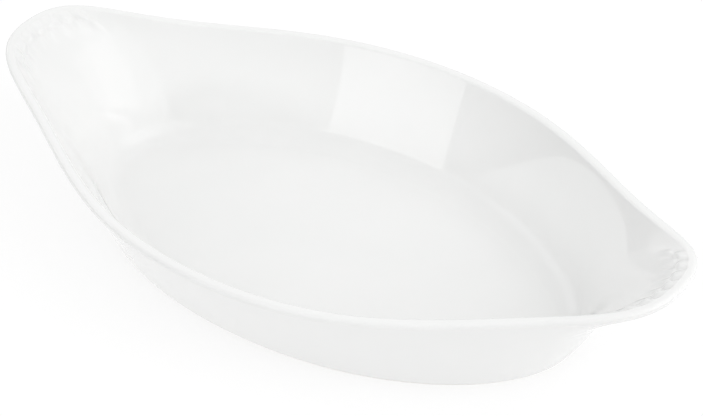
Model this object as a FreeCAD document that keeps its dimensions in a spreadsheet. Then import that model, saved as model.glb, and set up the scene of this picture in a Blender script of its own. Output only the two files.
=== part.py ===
"""Oval eared gratin dish in vitrified porcelain, 320 mm over the ears.

The dish is one fired piece, so it has no joints: a porcelain body, the glaze that coats it inside,
over the rim and outside, and the patch of glaze inside its foot ring. The ring itself stands bare.

Frame: millimetres, origin in the middle of the standing face, X along the ears, Z up.
"""
import FreeCAD, Part
import os
import re
import Sketcher

# Sizes of the finished dish. The brim is measured where the wall would reach the rim unrounded.
SIZES = {
    "brim_length": (334.3, "length over the two ears of a wall that is not drawn in"),
    "brim_width": (179.2, "width between the sides at the unrounded rim"),
    "side_height": (45.9, "height of the rim at the sides"),
    "ear_rise": (14.5, "climb of the rim from the sides to the ends of a wall that is not drawn in"),
    "base_length": (224.6, "length of the oval base"),
    "base_width": (127.9, "width of the oval base"),
    "ear_tuck": (8.8, "how far the wall under an ear's tip is drawn in halfway up"),
    "wall": (5.2, "thickness of the glazed wall, measured level"),
    "rim_round_share": (0.44, "rounding of the rim's edges, as a share of an ear's thickness square to it"),
    "floor_height": (5.5, "height of the glazed floor above the standing face"),
    "floor_round": (12.0, "radius between the floor and the wall"),
    "base_round": (2.0, "radius of the base's outer edge"),
    "foot_width": (8.0, "width of the foot ring from the base's edge inwards"),
    "foot_recess": (1.5, "depth of the recess inside the foot ring"),
    "glaze": (0.4, "thickness of the glaze"),
    "glaze_line": (1.9, "height at which the outer glaze stops above the standing face"),
    "overrun": (6.0, "how far a cut runs past what it cuts"),
}

# A quarter of each outline has three poles between the long axis and the short one.
# Each pole is given as shares of half the length and half the width.
EARED_SHARES = ((0.994, 0.261), (0.787, 0.433), (0.418, 0.909))
OVAL_SHARES = ((0.931, 0.402), (0.691, 0.734), (0.366, 0.955))
# How far each pole moves along X and Y when its outline is set inwards, as shares of that inset.
EARED_INSET_SHARES = ((1.3, 0.37), (0.6, 0.85), (0.25, 1.0))
OVAL_INSET_SHARES = ((1.0, 0.35), (0.6, 0.8), (0.28, 1.0))
# Between its oval base and its eared brim the wall runs through outlines at these shares of its height.
# Under the ears each one is drawn in by its share of the tuck, and each of its poles by a share of that.
LEVEL_SHARES = (0.25, 0.5, 0.75)
TUCK_SHARES = (0.54, 1.0, 0.58)
FLOOR_TUCK_SHARE = 0.08
POLE_TUCK_SHARES = (1.0, 1.0, 0.4, 0.0, 0.0)
# Where the rim's side profile has its inner poles: here the rise grows with the cube of the distance.
RISE_SHARE = 2 / 3

# Heights and half sizes that follow from the sizes above.
EAR_HEIGHT = "(side_height + ear_rise)"
LOFT_TOP = f"({EAR_HEIGHT} + overrun)"
EAR_FLARE = f"((brim_length - base_length) / 2 / {EAR_HEIGHT})"
SIDE_FLARE = "((brim_width - base_width) / 2 / side_height)"
RIM_ROUND = f"(rim_round_share * wall / sqrt(1 + {EAR_FLARE} ^ 2))"

doc = FreeCAD.newDocument("gratin_dish")
sheet = doc.addObject("Spreadsheet::Sheet", "Sizes")
for row, (alias, (value, meaning)) in enumerate(SIZES.items(), start=1):
    sheet.set(f"A{row}", meaning)
    sheet.set(f"B{row}", str(value))
    sheet.setAlias(f"B{row}", alias)
doc.recompute()


def formula(text):
    """The text with every size's name pointing at its cell."""
    return re.sub(r"[a-z_]+", lambda word: f"Sizes.{word[0]}" if word[0] in SIZES else word[0], text)


def bind(thing, prop, text):
    thing.setExpression(prop, formula(text))


def value_of(text):
    return float(sheet.evalExpression(formula(text)))


def half_length_at(height):
    return f"(base_length / 2 + {EAR_FLARE} * {height})"


def half_width_at(height):
    return f"(base_width / 2 + {SIDE_FLARE} * {height})"


def new_sketch(body, name, role, height="0"):
    """A sketch on one of the body's origin planes, raised to a height."""
    sketch = body.newObject("Sketcher::SketchObject", name)
    plane = next(item for item in body.Origin.OriginFeatures if item.Role == role)
    sketch.AttachmentSupport = (plane, [""])
    sketch.MapMode = "FlatFace"
    bind(sketch, "AttachmentOffset.Base.z", height)
    return sketch


def fix(sketch, kind, point, text, name):
    """Binds a point's X or Y to a formula; a negative value is written as a formula with a minus sign."""
    at = value_of(text)
    index = sketch.addConstraint(Sketcher.Constraint(kind, -1, 1, *point, at))
    sketch.renameConstraint(index, name)
    bind(sketch, f"Constraints.{name}", text)


def spline(sketch, places, periodic):
    """A cubic spline on poles whose places are pairs of formulas; gives back the poles as points."""
    poles = [FreeCAD.Vector(value_of(x), value_of(y), 0) for x, y in places]
    curve = Part.BSplineCurve()
    curve.buildFromPolesMultsKnots(poles, periodic=periodic, degree=3)
    index = sketch.addGeometry(curve, False)
    first = sketch.GeometryCount
    sketch.exposeInternalGeometry(index)
    return index, [(first + number, 3) for number in range(len(poles))]


def quarter_poles(height, shares, inset_shares, inset):
    """Poles of a quarter outline, from the long axis to the short one, set inwards by an inset."""
    half_length = half_length_at(height)
    half_width = half_width_at(height)
    quarter = []
    for (along, across), (inset_along, inset_across) in zip(shares, inset_shares):
        x = f"({along} * {half_length} - {inset_along} * {inset})"
        y = f"({across} * {half_width} - {inset_across} * {inset})"
        quarter.append((x, y))
    # A cubic spline lies at a sixth, two thirds and a sixth of three neighbouring poles.
    tip = f"((3 * ({half_length} - {inset_shares[0][0]} * {inset}) - {quarter[0][0]}) / 2)"
    side = f"((3 * ({half_width} - {inset}) - {quarter[-1][1]}) / 2)"
    return [(tip, "0")] + quarter + [("0", side)]


def oval_poles(height, inset):
    return quarter_poles(height, OVAL_SHARES, OVAL_INSET_SHARES, inset)


def eared_poles(height, inset):
    return quarter_poles(height, EARED_SHARES, EARED_INSET_SHARES, inset)


def level_poles(share, tuck_share, inset):
    """Poles of a quarter outline at a share of the wall's height, drawn in along X under the ears."""
    base = oval_poles("0", inset)
    brim = eared_poles(LOFT_TOP, inset)
    poles = []
    for low, high, pole_share in zip(base, brim, POLE_TUCK_SHARES):
        x = f"({low[0]} + {share} * ({high[0]} - {low[0]}) - {tuck_share * pole_share} * ear_tuck)"
        y = f"({low[1]} + {share} * ({high[1]} - {low[1]}))"
        poles.append((x, y))
    return poles


def outline(body, name, height, quarter):
    """A closed outline, the same in all four quarters."""
    sketch = new_sketch(body, name, "XY_Plane", height)
    tip, *corner, side = quarter
    places = [tip] + corner + [side]
    places += [(f"-{x}", y) for x, y in corner[::-1]] + [(f"-{tip[0]}", "0")]
    places += [(f"-{x}", f"-{y}") for x, y in corner] + [("0", f"-{side[1]}")]
    places += [(x, f"-{y}") for x, y in corner[::-1]]
    _, poles = spline(sketch, places, periodic=True)
    for number, (point, (x, y)) in enumerate(zip(poles, places)):
        fix(sketch, "DistanceX", point, x, f"along_{number}")
        fix(sketch, "DistanceY", point, y, f"across_{number}")
    return sketch


def rim_cutter(body, skin):
    """The region above the rim, seen from the side: the rim is level at the sides and climbs to the ears."""
    sketch = new_sketch(body, f"{body.Name}_rim_profile", "XZ_Plane")
    reach = f"({half_length_at(LOFT_TOP)} + overrun)"
    low = f"(side_height - {skin})"
    high = f"({low} + ear_rise * ({reach} * 2 / brim_length) ^ 3)"
    ceiling = f"({high} + overrun)"
    inner = f"({RISE_SHARE} * {reach})"
    places = [(f"-{reach}", high), (f"-{inner}", low), ("0", low), (inner, low), (reach, high)]
    curve, poles = spline(sketch, places, periodic=False)
    for number, (point, (x, y)) in enumerate(zip(poles, places)):
        fix(sketch, "DistanceX", point, x, f"along_{number}")
        fix(sketch, "DistanceY", point, y, f"up_{number}")
    corners = [(reach, high), (reach, ceiling), (f"-{reach}", ceiling), (f"-{reach}", high)]
    ends = [FreeCAD.Vector(value_of(x), value_of(y), 0) for x, y in corners]
    lines = [sketch.addGeometry(Part.LineSegment(*pair), False) for pair in zip(ends, ends[1:])]
    sketch.addConstraint(Sketcher.Constraint("Coincident", curve, 2, lines[0], 1))
    sketch.addConstraint(Sketcher.Constraint("Coincident", lines[0], 2, lines[1], 1))
    sketch.addConstraint(Sketcher.Constraint("Coincident", lines[1], 2, lines[2], 1))
    sketch.addConstraint(Sketcher.Constraint("Coincident", lines[2], 2, curve, 1))
    sketch.addConstraint(Sketcher.Constraint("Vertical", lines[0]))
    sketch.addConstraint(Sketcher.Constraint("Horizontal", lines[1]))
    sketch.addConstraint(Sketcher.Constraint("Vertical", lines[2]))
    fix(sketch, "DistanceY", (lines[1], 1), ceiling, "ceiling")
    return sketch


def flat_edges(shape, height):
    """Names of the edges that lie level at a height."""
    near = value_of("glaze") / 4
    names = []
    for number, edge in enumerate(shape.Edges, start=1):
        box = edge.BoundBox
        if abs(box.ZMin - height) < near and abs(box.ZMax - height) < near:
            names.append(f"Edge{number}")
    return names


def rim_edges(shape):
    """Names of the edges that run round the rim, all of them in the upper half of the dish."""
    lowest = value_of("side_height / 2")
    numbered = enumerate(shape.Edges, start=1)
    return [f"Edge{number}" for number, edge in numbered if edge.BoundBox.ZMin > lowest]


def fillet(body, name, names, radius):
    carrier = body.Tip
    feature = body.newObject("PartDesign::Fillet", f"{body.Name}_{name}")
    feature.Base = (carrier, names)
    bind(feature, "Radius", radius)
    doc.recompute()


def pocket(body, name, sketch, depth, both_ways=False):
    """Cuts a sketch's region away, upwards from its plane or to both sides of it."""
    before = body.Tip.Shape.Volume
    feature = body.newObject("PartDesign::Pocket", f"{body.Name}_{name}")
    feature.Profile = sketch
    feature.Midplane = both_ways
    feature.Reversed = not both_ways
    bind(feature, "Length", depth)
    doc.recompute()
    assert feature.Shape.Volume < before, f"{feature.Name} cuts nothing"


def loft(body, kind, name, outlines):
    feature = body.newObject(f"PartDesign::{kind}", f"{body.Name}_{name}")
    feature.Profile = outlines[0]
    feature.Sections = outlines[1:]
    doc.recompute()


def wall_outlines(body, face, lowest, inset):
    """The outlines that the wall's outer or inner face runs through, from its lowest one up."""
    outlines = [lowest]
    for number, (share, tuck_share) in enumerate(zip(LEVEL_SHARES, TUCK_SHARES), start=1):
        name = f"{body.Name}_{face}_level_{number}"
        poles = level_poles(share, tuck_share, inset)
        outlines.append(outline(body, name, f"{share} * {LOFT_TOP}", poles))
    outlines.append(outline(body, f"{body.Name}_{face}_brim", LOFT_TOP, eared_poles(LOFT_TOP, inset)))
    return outlines


def dish_form(name, skin):
    """The dish's whole form, set inwards by a skin on every face but the standing one."""
    body = doc.addObject("PartDesign::Body", name)
    inside = f"(wall - {skin})"
    floor = f"(floor_height - {skin})"

    base = outline(body, f"{name}_base", "0", oval_poles("0", skin))
    loft(body, "AdditiveLoft", "outside", wall_outlines(body, "outer", base, skin))

    floor_poles = level_poles(f"({floor} / {LOFT_TOP})", FLOOR_TUCK_SHARE, inside)
    bottom = outline(body, f"{name}_floor", floor, floor_poles)
    loft(body, "SubtractiveLoft", "well", wall_outlines(body, "inner", bottom, inside))

    across = f"2 * {half_width_at(LOFT_TOP)} + overrun"
    pocket(body, "above_rim", rim_cutter(body, skin), across, both_ways=True)
    fillet(body, "floor_round", flat_edges(body.Tip.Shape, value_of(floor)), f"floor_round + {skin}")
    fillet(body, "base_round", flat_edges(body.Tip.Shape, 0), f"base_round + glaze - {skin}")
    fillet(body, "rim_round", rim_edges(body.Tip.Shape), f"{RIM_ROUND} - {skin}")
    return body


def foot_outline(body):
    """The foot ring's inner edge."""
    return outline(body, f"{body.Name}_foot", "0", oval_poles("0", "foot_width"))


def porcelain_body():
    """The fired body: floor, wall, rim, ears and foot ring in one piece."""
    body = dish_form("porcelain_body", "glaze")
    pocket(body, "recess", foot_outline(body), "foot_recess")
    return body


def above_glaze_line(form, below):
    """What the glaze line leaves of a form: its faces above the line, and its flat face at the line."""
    upper = doc.addObject("Part::Cut", f"{form.Name}_above_line")
    upper.Base = form
    upper.Tool = below
    doc.recompute()
    faces = sorted(upper.Shape.Faces, key=lambda face: face.BoundBox.ZMax)
    return faces[1:], faces[0]


def glaze_coat(clay):
    """The glaze from the glaze line up the outside, over the rim and all over the inside."""
    below = doc.addObject("Part::Cylinder", "below_glaze_line")
    bind(below, "Radius", f"{half_length_at('glaze_line')} + overrun")
    bind(below, "Height", "glaze_line + overrun")
    bind(below, "Placement.Base.z", "-overrun")
    glazed_faces, glazed_foot = above_glaze_line(dish_form("glazed_form", "0"), below)
    clay_faces, clay_foot = above_glaze_line(clay, below)
    lower_edge = glazed_foot.cut(clay_foot).Faces
    skin = Part.makeShell(glazed_faces + clay_faces + lower_edge)
    skin.sewShape()
    coat = doc.addObject("Part::Feature", "glaze_coat")
    coat.Shape = Part.makeSolid(skin)
    return coat


def base_glaze():
    """The patch of glaze on the underside, inside the foot ring."""
    body = doc.addObject("PartDesign::Body", "base_glaze")
    sketch = foot_outline(body)
    bind(sketch, "AttachmentOffset.Base.z", "foot_recess - glaze")
    patch = body.newObject("PartDesign::Pad", "base_glaze_patch")
    patch.Profile = sketch
    bind(patch, "Length", "glaze")
    return body


clay_body = porcelain_body()
pieces = [clay_body, glaze_coat(clay_body), base_glaze()]
doc.recompute()

for item in doc.Objects:
    assert not {"Invalid", "Error"} & set(item.State), f"{item.Name} failed: {item.State}"
for piece in pieces:
    assert not piece.Shape.isNull() and piece.Shape.isValid(), f"{piece.Label} is not a sound solid"

os.makedirs("parts", exist_ok=True)
for piece in pieces:
    piece.Shape.exportStep(f"parts/{piece.Label}.step")
    print(piece.Label, len(piece.Shape.Solids), "solid", round(piece.Shape.Volume), "mm3")
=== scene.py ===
"""Looks of an oval eared gratin dish in white gloss porcelain.

The glaze is modelled as a closed skin: the same form as its solid, with a row of pads and a row of
bars raised along the inner edge of each ear. The porcelain body and the glaze under the base keep
their solids.
Everything is in metres, in the frame of the solids: X along the ears, Z up, origin under the middle.
"""

import math

import bpy
import numpy as np
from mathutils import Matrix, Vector


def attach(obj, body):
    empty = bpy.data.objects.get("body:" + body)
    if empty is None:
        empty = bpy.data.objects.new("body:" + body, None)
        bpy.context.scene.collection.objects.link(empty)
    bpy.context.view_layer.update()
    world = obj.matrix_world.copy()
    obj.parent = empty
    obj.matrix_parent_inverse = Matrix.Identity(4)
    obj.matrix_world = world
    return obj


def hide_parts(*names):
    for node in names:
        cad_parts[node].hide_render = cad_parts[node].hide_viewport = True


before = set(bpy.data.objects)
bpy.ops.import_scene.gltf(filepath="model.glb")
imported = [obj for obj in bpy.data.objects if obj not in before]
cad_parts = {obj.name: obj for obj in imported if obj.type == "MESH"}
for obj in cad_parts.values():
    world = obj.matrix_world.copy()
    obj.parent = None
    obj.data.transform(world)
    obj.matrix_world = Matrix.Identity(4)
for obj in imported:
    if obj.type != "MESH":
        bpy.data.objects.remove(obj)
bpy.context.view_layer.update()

# Sizes of the finished dish, as in its solids.
BRIM_LENGTH = 0.3343
BRIM_WIDTH = 0.1792
SIDE_HEIGHT = 0.0459
EAR_RISE = 0.0145
BASE_LENGTH = 0.2246
BASE_WIDTH = 0.1279
EAR_TUCK = 0.0088
WALL = 0.0052
RIM_ROUND_SHARE = 0.44
FLOOR_HEIGHT = 0.0055
FLOOR_ROUND = 0.012
GLAZE = 0.0004
GLAZE_LINE = 0.0019
OVERRUN = 0.006

# Heights, slopes and radii that follow from the sizes.
EAR_HEIGHT = SIDE_HEIGHT + EAR_RISE
LOFT_TOP = EAR_HEIGHT + OVERRUN
EAR_FLARE = (BRIM_LENGTH - BASE_LENGTH) / 2 / EAR_HEIGHT
SIDE_FLARE = (BRIM_WIDTH - BASE_WIDTH) / 2 / SIDE_HEIGHT
RIM_ROUND = RIM_ROUND_SHARE * WALL / math.sqrt(1 + EAR_FLARE ** 2)
UP = np.array((0.0, 0.0, 1.0))

# A quarter of each outline has three poles between the long axis and the short one.
# Each pole is given as shares of half the length and half the width, and of an inset.
EARED = (((0.994, 0.261), (0.787, 0.433), (0.418, 0.909)), ((1.3, 0.37), (0.6, 0.85), (0.25, 1.0)))
OVAL = (((0.931, 0.402), (0.691, 0.734), (0.366, 0.955)), ((1.0, 0.35), (0.6, 0.8), (0.28, 1.0)))
POLES = 16
# Between base and brim the wall runs through outlines at shares of its height, drawn in under the ears.
LEVEL_SHARES = (0.25, 0.5, 0.75)
TUCK_SHARES = (0.54, 1.0, 0.58)
FLOOR_TUCK_SHARE = 0.08
POLE_TUCK_SHARES = np.array((1.0, 1.0, 0.4, 0.0, 0.0))

# Raised relief along the ears: a row of pads that grow out of the rim, and a row of bars below,
# set half a pitch apart. Each reaches from its top over its crest to its bottom, down from the rim.
PITCH = 0.0070
PADS = {
    "count": 7, "top": -0.0016, "crest": 0.0040, "bottom": 0.0074, "half_width": 0.0038, "height": 0.0011,
}
BARS = {
    "count": 8, "top": 0.0044, "crest": 0.0068, "bottom": 0.0155, "half_width": 0.0035, "height": 0.0006,
}

# Columns and rows of the skin. Columns are close together within a number of poles of an ear's tip.
# On the glossy face the relief has rows of its own, down to a share of the inner wall.
EAR_ZONE = 1.3
EAR_COLUMNS = 142
SIDE_COLUMNS = 160
GLOSSY_ROWS = {"outside": 24, "rim": 9, "inside": 22, "round": 10}
PLAIN_ROWS = {"outside": 5, "rim": 4, "inside": 8, "round": 5}
RELIEF_ROWS = 36
RELIEF_SHARE = 0.27
RELIEF_ROWS_OVER_RIM = 6
SHARP_ANGLE = math.radians(50)

# How finely the curves are solved: halvings of a share of the way up, and the samples and the reach,
# as a share of the way up, in which a rolling ball's place is looked for.
HALVINGS = 40
ROLL_SAMPLES = 160
ROLL_REACH = 1 / 3

# Surfaces: the scale and detail of a noise, and the tones, roughness and depth that follow it.
GLAZE_NOISE = (22, 3)
GLAZE_TONES = ((0.852, 0.856, 0.850), (0.870, 0.872, 0.867))
GLAZE_ROUGHNESS = (0.02, 0.05)
GLAZE_WAVES = 0.00003
GLAZE_IOR = 1.5
PORCELAIN_NOISE = (900, 4)
PORCELAIN_TONES = ((0.76, 0.745, 0.71), (0.84, 0.83, 0.80))
PORCELAIN_ROUGHNESS = (0.6, 0.85)
PORCELAIN_GRAIN = 0.00005
SHEET_NOISE = (2, 2)
SHEET_TONES = ((0.296, 0.296, 0.296), (0.304, 0.304, 0.304))
SHEET_ROUGHNESS = 0.9
TONE_PLACES = (0.3, 0.7)

# The view: the camera's place, its direction and its focal length in pixels of the image.
IMAGE_WIDTH = 703
FOCAL_PIXELS = 2426.9
SENSOR = 36.0
CAMERA_PLACE = Vector((0.45815, -0.64531, 0.62285))
CAMERA_AZIMUTH = math.radians(34.792)
CAMERA_ELEVATION = math.radians(37.06)

# The sheet that the dish stands on: its glow, half its side and its height.
SHEET_GLOW = 0.70
SHEET_HALF = 1.3
SHEET_LEVEL = -0.0001

# The light: brightness of the room by the sine of the elevation, and softboxes by name,
# azimuth, elevation, width and height in degrees, and brightness.
LIGHT_DISTANCE = 2.0
ROOM = ((0.0, 0.0), (0.15, 0.02), (0.35, 1.13), (0.6, 0.83), (1.0, 0.88))
SOFTBOXES = (
    ("window", -107.5, 18, 33, 18, 1.45),
    ("front_low", -68, 12, 40, 20, 0.25),
    ("right_high", 7, 42, 36, 44, 0.55),
    ("right_wide", -2, 38, 75, 48, 0.58),
    ("left_low", 185, 26, 50, 28, 0.5),
    ("back", 90, 10, 80, 18, 0.4),
    ("back_right", 30, 8, 50, 16, 1.15),
    ("back_left", 150, 8, 50, 16, 0.5),
)


# Form of the dish

def unit(vectors):
    return vectors / np.linalg.norm(vectors, axis=-1, keepdims=True)


def spline(poles, places):
    """Points of a closed cubic spline; a place counts poles from the first one."""
    number = np.floor(places).astype(int)
    t = (places - number)[:, None]
    before, here, after, beyond = (poles[(number + step) % len(poles)] for step in (-1, 0, 1, 2))
    weights = (1 - t) ** 3, 3 * t ** 3 - 6 * t ** 2 + 4, -3 * t ** 3 + 3 * t ** 2 + 3 * t + 1, t ** 3
    return sum(weight * pole for weight, pole in zip(weights, (before, here, after, beyond))) / 6


def quarter_poles(height, form, inset):
    """Poles of a quarter outline from the long axis to the short one, set inwards by an inset."""
    shares, inset_shares = (np.array(part) for part in form)
    half = np.array((BASE_LENGTH / 2 + EAR_FLARE * height, BASE_WIDTH / 2 + SIDE_FLARE * height))
    quarter = shares * half - inset_shares * inset
    tip = (3 * (half[0] - inset_shares[0, 0] * inset) - quarter[0, 0]) / 2
    side = (3 * (half[1] - inset) - quarter[-1, 1]) / 2
    return np.vstack([(tip, 0), quarter, (0, side)])


def level_poles(height, tuck_share, inset):
    """Poles of a level outline of the wall, the same in all four quarters."""
    low, high = quarter_poles(0, OVAL, inset), quarter_poles(LOFT_TOP, EARED, inset)
    first = low + (high - low) * height / LOFT_TOP
    first[:, 0] -= tuck_share * EAR_TUCK * POLE_TUCK_SHARES
    second = (first * (-1, 1))[:0:-1]
    third = (first * (-1, -1))[:-1]
    fourth = (first * (1, -1))[:0:-1]
    return np.c_[np.vstack([first[:-1], second, third, fourth]), np.full(POLES, height)]


def wall_face(places, lowest, lowest_tuck_share, inset):
    """The shares of the way up at which a face of the wall meets its five outlines, and the outlines."""
    heights = [lowest] + [share * LOFT_TOP for share in LEVEL_SHARES] + [LOFT_TOP]
    tuck_shares = [lowest_tuck_share, *TUCK_SHARES, 0]
    poles = np.array([level_poles(height, share, inset) for height, share in zip(heights, tuck_shares)])
    steps = np.sqrt((np.diff(poles, axis=0) ** 2).sum((1, 2)))
    knots = np.concatenate([[0], np.cumsum(steps) / steps.sum()])
    return knots, np.array([spline(outline, places) for outline in poles])


def wall(face, shares):
    """Points of a face of the wall at shares of the way up: a polynomial through its five outlines."""
    knots, outlines = face
    points = 0
    for number, knot in enumerate(knots):
        others = np.delete(knots, number)
        weight = np.prod([(shares - other) / (knot - other) for other in others], axis=0)
        points = points + weight[..., None] * outlines[number]
    return points


def share_below(face, ceiling):
    """The shares of the way up at which a face's columns reach a ceiling, a function of their points."""
    low = np.zeros(face[1].shape[1])
    high = np.ones_like(low)
    for _ in range(HALVINGS):
        middle = (low + high) / 2
        points = wall(face, middle)
        above = points[:, 2] > ceiling(points)
        low, high = np.where(above, low, middle), np.where(above, middle, high)
    return low


def rim_height(points, skin):
    """Height of the rim's top over points: it climbs with the cube of the distance."""
    return SIDE_HEIGHT - skin + EAR_RISE * np.abs(2 * points[..., 0] / BRIM_LENGTH) ** 3


def under_rim(points, skin):
    """How far points lie below the rim's top, and the direction up to it."""
    x = points[..., 0]
    slope = 3 * EAR_RISE * (2 / BRIM_LENGTH) ** 3 * x * np.abs(x)
    direction = unit(np.stack([-slope, np.zeros_like(x), np.ones_like(x)], axis=-1))
    return (rim_height(points, skin) - points[..., 2]) * direction[..., 2], direction


def over_floor(points, skin):
    """How far points lie above the floor, and the direction down to it."""
    return points[..., 2] - FLOOR_HEIGHT + skin, np.broadcast_to(-UP, points.shape)


def rolled(face, corner, reach, side, flat, skin, radius, steps):
    """Rows of the arc of a ball that rolls between a face of the wall and a flat.

    Also returns the shares of the way up at which the ball touches the face.
    """
    shares = np.linspace(corner + reach, corner, ROLL_SAMPLES)
    path = wall(face, shares)
    round_dish = np.roll(path, -1, axis=1) - np.roll(path, 1, axis=1)
    normals = unit(np.cross(round_dish, np.gradient(path, axis=0)))
    inwards = np.cross(UP, round_dish)
    middles = path + radius * side * normals * np.sign((normals * inwards).sum(-1, keepdims=True))
    depth = flat(middles, skin)[0]
    first = len(shares) - 2 - np.argmax((depth > radius)[-2::-1], axis=0)
    columns = np.arange(path.shape[1])
    part = (radius - depth[first, columns]) / (depth[first + 1, columns] - depth[first, columns])

    def at_contact(grid):
        weight = part.reshape(-1, *[1] * (grid.ndim - 2))
        return grid[first, columns] * (1 - weight) + grid[first + 1, columns] * weight

    middle = at_contact(middles)
    start, end = at_contact(path) - middle, radius * flat(middle, skin)[1]
    sweep = np.arccos((unit(start) * unit(end)).sum(-1, keepdims=True))
    rows = []
    for share in np.linspace(0, 1, steps):
        arc = np.sin((1 - share) * sweep) * start + np.sin(share * sweep) * end
        rows.append(middle + arc / np.sin(sweep))
    return rows, at_contact(shares)


def skin_rows(places, skin, counts, inside_shares):
    """Rows of points from the glaze line up the outside, over the rim and down to the floor's edge."""
    outside = wall_face(places, 0, 0, skin)
    inside = wall_face(places, FLOOR_HEIGHT - skin, FLOOR_TUCK_SHARE, WALL - skin)
    rim_round, floor_round = RIM_ROUND - skin, FLOOR_ROUND + skin

    def rim_top(points):
        return rim_height(points, skin)

    outer, inner = share_below(outside, rim_top), share_below(inside, rim_top)
    low_out = share_below(outside, lambda points: GLAZE_LINE)
    rim_out, top_out = rolled(outside, outer, -ROLL_REACH, 1, under_rim, skin, rim_round, counts["rim"])
    rim_in, top_in = rolled(inside, inner, -ROLL_REACH, -1, under_rim, skin, rim_round, counts["rim"])
    foot, low_in = rolled(inside, 0 * inner, ROLL_REACH, 1, over_floor, skin, floor_round, counts["round"])
    outside_shares = np.linspace(0, 1, counts["outside"])
    rows = list(wall(outside, low_out + (top_out - low_out) * outside_shares[:-1, None]))
    rows += rim_out + rim_in[::-1]
    rows += list(wall(inside, top_in + (low_in - top_in) * inside_shares[1:-1, None]))
    rows += foot
    return np.array(rows)


def column_places():
    """Places of the columns round the dish, close together at the ears, from an ear's tip on."""
    ear = np.linspace(-EAR_ZONE, EAR_ZONE, EAR_COLUMNS)
    side = np.linspace(EAR_ZONE, POLES / 2 - EAR_ZONE, SIDE_COLUMNS)[1:-1]
    half = np.concatenate([ear, side])
    places = np.concatenate([half, half + POLES / 2]) % POLES
    return np.roll(places, -int(np.argmin(np.minimum(places, POLES - places))))


def glossy_shares():
    """Shares of the inner wall's height from the rim to the floor, close together at the relief."""
    close = np.linspace(0, RELIEF_SHARE, RELIEF_ROWS)
    return np.concatenate([close, np.linspace(RELIEF_SHARE, 1, GLOSSY_ROWS["inside"])[1:]])


def row_normals(rows):
    """Outward normals of a grid of rows whose columns run round the dish."""
    round_dish = np.roll(rows, -1, axis=1) - np.roll(rows, 1, axis=1)
    return unit(np.cross(round_dish, np.gradient(rows, axis=0)))


def swell(t):
    """A soft step from 0 to 1."""
    t = np.clip(t, 0, 1)
    return t * t * (3 - 2 * t)


def relief_row(offset, down, count, top, crest, bottom, half_width, height):
    """Heights of a row of rounded pads or bars, at distances along the ear and down from the rim."""
    along = np.minimum(swell((down - top) / (crest - top)), swell((bottom - down) / (bottom - crest)))
    middle = (count - 1) / 2
    nearest = np.clip(np.round(offset / PITCH + middle), 0, count - 1) - middle
    across = swell(1 - np.abs(offset - nearest * PITCH) / half_width)
    return height * along * across


def relief(offset, down):
    """Height of both rows."""
    return np.maximum(relief_row(offset, down, **PADS), relief_row(offset, down, **BARS))


def raise_relief(rows, places, rim_row):
    """Pushes the rows out along their normals at the pads and bars of both ears."""
    steps = np.linalg.norm(np.diff(rows, axis=0), axis=-1)
    down = np.concatenate([np.zeros((1, rows.shape[1])), np.cumsum(steps, axis=0)])
    down = down - down[rim_row]
    edge = rows[rim_row]
    length = np.linalg.norm(np.roll(edge, -1, axis=0) - edge, axis=1)
    place = np.concatenate([[0], np.cumsum(length)[:-1]])
    total = length.sum()
    height = np.zeros(rows.shape[:2])
    for tip in (0, POLES / 2):
        at_tip = place[np.argmin(np.abs((places - tip + POLES / 2) % POLES - POLES / 2))]
        offset = (place - at_tip + total / 2) % total - total / 2
        height += relief(np.broadcast_to(offset, down.shape), down)
    height[:rim_row - RELIEF_ROWS_OVER_RIM] = 0
    return rows + row_normals(rows) * height[..., None]


def grid_faces(rows, columns, first=0, flip=False):
    """Quads between neighbouring rows of a grid whose columns close on themselves."""
    faces = []
    for row in range(rows - 1):
        for column in range(columns):
            a = first + row * columns + column
            b = first + row * columns + (column + 1) % columns
            face = (a, b, b + columns, a + columns)
            faces.append(face[::-1] if flip else face)
    return faces


def floor_faces(ring, flip=False):
    """Closes a level ring of points with strips that run across the dish."""
    count = len(ring)
    faces = [(ring[0], ring[1], ring[-1])]
    for step in range(1, count // 2 - 1):
        faces.append((ring[step], ring[step + 1], ring[count - step - 1], ring[count - step]))
    last = count // 2 - 1
    faces.append((ring[last], ring[last + 1], ring[last + 2]))
    return [face[::-1] if flip else face for face in faces]


def new_object(name, points, faces, material):
    mesh = bpy.data.meshes.new(name)
    mesh.from_pydata([tuple(point) for point in points], [], faces)
    mesh.update()
    mesh.polygons.foreach_set("use_smooth", [True] * len(mesh.polygons))
    mesh.set_sharp_from_angle(angle=SHARP_ANGLE)
    mesh.materials.append(material)
    thing = bpy.data.objects.new(name, mesh)
    bpy.context.scene.collection.objects.link(thing)
    return thing


def glaze_skin(material):
    """The glaze as one closed skin: its glossy face with the relief, and its face against the body."""
    places = column_places()
    glossy = skin_rows(places, 0, GLOSSY_ROWS, glossy_shares())
    rim_row = GLOSSY_ROWS["outside"] - 1 + 2 * GLOSSY_ROWS["rim"] - 1
    glossy = raise_relief(glossy, places, rim_row)
    plain = skin_rows(places, GLAZE, PLAIN_ROWS, np.linspace(0, 1, PLAIN_ROWS["inside"]))
    columns = len(places)
    first_plain = len(glossy) * columns
    points = np.concatenate([glossy.reshape(-1, 3), plain.reshape(-1, 3)])
    faces = grid_faces(len(glossy), columns)
    faces += grid_faces(len(plain), columns, first_plain, flip=True)
    faces += floor_faces(list(range(first_plain - columns, first_plain)))
    faces += floor_faces(list(range(len(points) - columns, len(points))), flip=True)
    for column in range(columns):
        after = (column + 1) % columns
        faces.append((after, column, first_plain + column, first_plain + after))
    return new_object("glaze_skin", points, faces, material)


# Materials

def new_material(name):
    material = bpy.data.materials.new(name)
    material.use_nodes = True
    nodes = material.node_tree.nodes
    return material, nodes, material.node_tree.links, nodes["Principled BSDF"]


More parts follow.
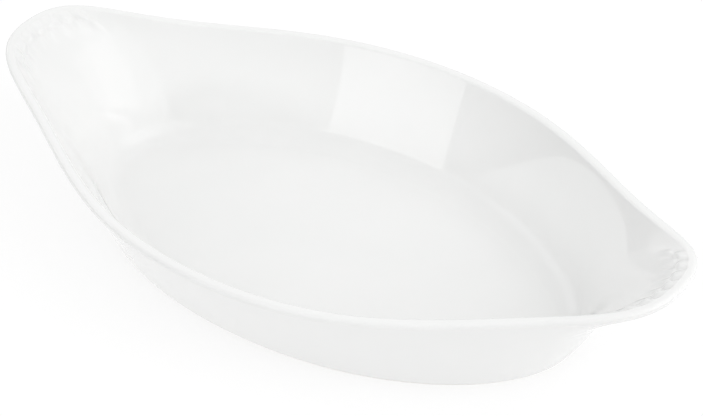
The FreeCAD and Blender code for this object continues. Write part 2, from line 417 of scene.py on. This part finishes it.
def noise_texture(nodes, links, scale, detail):
    """Soft noise over the object's own place."""
    place = nodes.new("ShaderNodeTexCoord")
    noise = nodes.new("ShaderNodeTexNoise")
    noise.inputs["Scale"].default_value = scale
    noise.inputs["Detail"].default_value = detail
    links.new(place.outputs["Object"], noise.inputs["Vector"])
    return noise.outputs["Fac"]


def tones(nodes, links, noise, two_tones, shader):
    """Lets the shader's colour wander between two tones with a noise."""
    ramp = nodes.new("ShaderNodeValToRGB")
    for stop, place, tone in zip(ramp.color_ramp.elements, TONE_PLACES, two_tones):
        stop.position = place
        stop.color = (*tone, 1)
    links.new(noise, ramp.inputs["Fac"])
    links.new(ramp.outputs["Color"], shader.inputs["Base Color"])


def polish(nodes, links, noise, ends, shader):
    """Lets the shader's roughness wander between two values with a noise."""
    span = nodes.new("ShaderNodeMapRange")
    span.inputs["To Min"].default_value, span.inputs["To Max"].default_value = ends
    links.new(noise, span.inputs["Value"])
    links.new(span.outputs["Result"], shader.inputs["Roughness"])


def uneven(nodes, links, noise, depth, shader):
    """Tilts the shaded surface as if the noise were a relief of a depth."""
    bump = nodes.new("ShaderNodeBump")
    bump.inputs["Strength"].default_value = 1
    bump.inputs["Distance"].default_value = depth
    links.new(noise, bump.inputs["Height"])
    links.new(bump.outputs["Normal"], shader.inputs["Normal"])


def glaze_material():
    """White gloss glaze: faintly mottled, and slightly wavy where it ran."""
    material, nodes, links, shader = new_material("white_glaze")
    cloud = noise_texture(nodes, links, *GLAZE_NOISE)
    tones(nodes, links, cloud, GLAZE_TONES, shader)
    polish(nodes, links, cloud, GLAZE_ROUGHNESS, shader)
    uneven(nodes, links, cloud, GLAZE_WAVES, shader)
    shader.inputs["IOR"].default_value = GLAZE_IOR
    return material


def porcelain_material():
    """Bare porcelain: matt, off-white and fine-grained."""
    material, nodes, links, shader = new_material("bare_porcelain")
    grain = noise_texture(nodes, links, *PORCELAIN_NOISE)
    tones(nodes, links, grain, PORCELAIN_TONES, shader)
    polish(nodes, links, grain, PORCELAIN_ROUGHNESS, shader)
    uneven(nodes, links, grain, PORCELAIN_GRAIN, shader)
    return material


def sheet_material():
    """A pale sheet with a glow of its own, so that it hardly shows a shadow."""
    material, nodes, links, shader = new_material("pale_floor")
    cloud = noise_texture(nodes, links, *SHEET_NOISE)
    tones(nodes, links, cloud, SHEET_TONES, shader)
    shader.inputs["Roughness"].default_value = SHEET_ROUGHNESS
    shader.inputs["Specular IOR Level"].default_value = 0
    shader.inputs["Emission Color"].default_value = (1, 1, 1, 1)
    shader.inputs["Emission Strength"].default_value = SHEET_GLOW
    return material


# Stage

def add_camera():
    data = bpy.data.cameras.new("camera")
    data.sensor_width = SENSOR
    data.lens = SENSOR * FOCAL_PIXELS / IMAGE_WIDTH
    camera = bpy.data.objects.new("camera", data)
    level = math.cos(CAMERA_ELEVATION)
    back = Vector((
        math.sin(CAMERA_AZIMUTH) * level,
        -math.cos(CAMERA_AZIMUTH) * level,
        math.sin(CAMERA_ELEVATION),
    ))
    camera.location = CAMERA_PLACE
    camera.rotation_euler = (-back).to_track_quat("-Z", "Y").to_euler()
    bpy.context.scene.collection.objects.link(camera)
    bpy.context.scene.camera = camera


def add_floor():
    """A square sheet, a hair below the foot so that no two faces lie in one plane."""
    ends = (-1, -1), (1, -1), (1, 1), (-1, 1)
    corners = [(x * SHEET_HALF, y * SHEET_HALF, SHEET_LEVEL) for x, y in ends]
    floor = new_object("floor", corners, [(0, 1, 2, 3)], sheet_material())


def add_softbox(name, azimuth, elevation, width, height, brightness):
    """A flat light that faces the dish, placed and sized by the angles at which the dish sees it."""
    level = math.cos(math.radians(elevation))
    towards = Vector((
        math.cos(math.radians(azimuth)) * level,
        math.sin(math.radians(azimuth)) * level,
        math.sin(math.radians(elevation)),
    ))
    data = bpy.data.lights.new(name, "AREA")
    data.shape = "RECTANGLE"
    data.size = 2 * LIGHT_DISTANCE * math.tan(math.radians(width / 2))
    data.size_y = 2 * LIGHT_DISTANCE * math.tan(math.radians(height / 2))
    data.energy = math.pi * data.size * data.size_y * brightness
    lamp = bpy.data.objects.new(name, data)
    lamp.location = towards * LIGHT_DISTANCE
    lamp.rotation_euler = (-towards).to_track_quat("-Z", "Y").to_euler()
    bpy.context.scene.collection.objects.link(lamp)


def add_world():
    """A pale room that is dark near the floor and brightest a little above it."""
    world = bpy.data.worlds.new("studio")
    world.use_nodes = True
    nodes, links = world.node_tree.nodes, world.node_tree.links
    direction = nodes.new("ShaderNodeTexCoord")
    parts = nodes.new("ShaderNodeSeparateXYZ")
    ramp = nodes.new("ShaderNodeValToRGB")
    stops = ramp.color_ramp.elements
    for number, (height, brightness) in enumerate(ROOM):
        stop = stops[number] if number < len(stops) else stops.new(1)
        stop.position = height
        stop.color = (brightness, brightness, brightness, 1)
    links.new(direction.outputs["Generated"], parts.inputs["Vector"])
    links.new(parts.outputs["Z"], ramp.inputs["Fac"])
    links.new(ramp.outputs["Color"], nodes["Background"].inputs["Color"])
    bpy.context.scene.world = world


glaze = glaze_material()
skin = glaze_skin(glaze)
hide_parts("glaze_coat")
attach(skin, "root")

for node, material in (("porcelain_body", porcelain_material()), ("base_glaze", glaze)):
    node_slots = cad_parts[node].data.materials
    node_slots.clear()
    node_slots.append(material)

add_camera()
add_floor()
add_world()
for softbox in SOFTBOXES:
    add_softbox(*softbox)
bpy.context.scene.view_settings.view_transform = "Standard"
